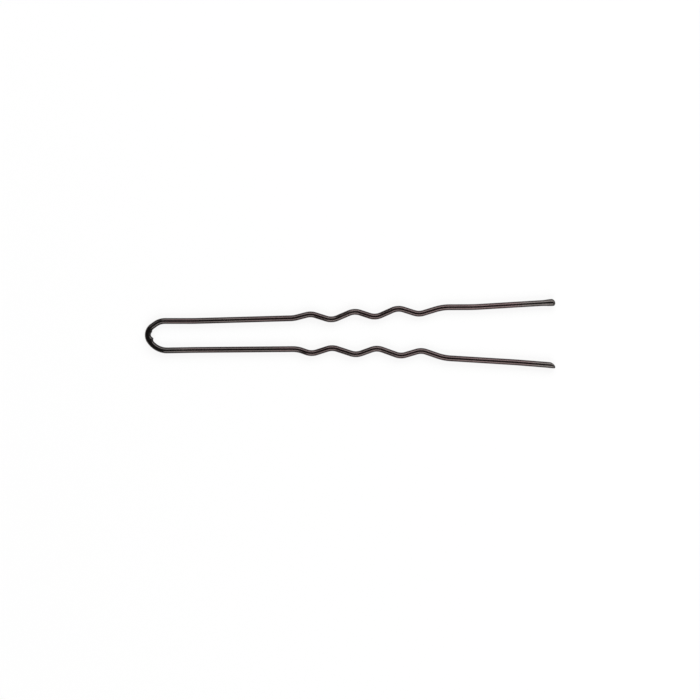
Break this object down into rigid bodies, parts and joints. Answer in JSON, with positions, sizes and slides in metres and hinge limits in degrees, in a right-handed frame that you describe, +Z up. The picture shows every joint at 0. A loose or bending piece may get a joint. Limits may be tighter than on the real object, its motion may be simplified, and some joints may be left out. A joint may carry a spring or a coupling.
{
  "type": "hairpin",
  "caption": "Long U-shaped hair pin of dark lacquered spring wire, crimped in waves along both legs, with rounded lacquer beads on the tips and legs that spring from the crown.",
  "frame": {"origin": "middle of the pin's bounding box, on the table that the pin lies on", "axes": "+X from the crown to the tips, +Y towards the upper leg of the picture, +Z up from the table"},
  "size_m": [0.075, 0.0128, 0.0013],
  "materials": {
    "wire": "drawn spring steel, bare",
    "lacquer": "dipped dark brown lacquer, semi-gloss",
    "bead": "the same lacquer, thicker and glossier where it gathered"
  },
  "bodies": {
    "crown": {"crown_core": "wire", "crown_coat": "lacquer"},
    "upper_leg": {"upper_leg_core": "wire", "upper_leg_coat": "lacquer", "upper_tip_bead": "bead"},
    "lower_leg": {"lower_leg_core": "wire", "lower_leg_coat": "lacquer", "lower_tip_bead": "bead"}
  },
  "joints": [
    {"name": "upper_leg_flex", "type": "hinge", "parent": "crown", "child": "upper_leg", "pos_m": [-0.0285, 0.00232, 0.00066], "axis": [0, 0, 1], "range_deg": [-3.5, 8], "stiffness_Nm_per_rad": 0.295},
    {"name": "lower_leg_flex", "type": "hinge", "parent": "crown", "child": "lower_leg", "pos_m": [-0.0285, -0.00297, 0.00066], "axis": [0, 0, -1], "range_deg": [-3.5, 8], "stiffness_Nm_per_rad": 0.295}
  ]
}
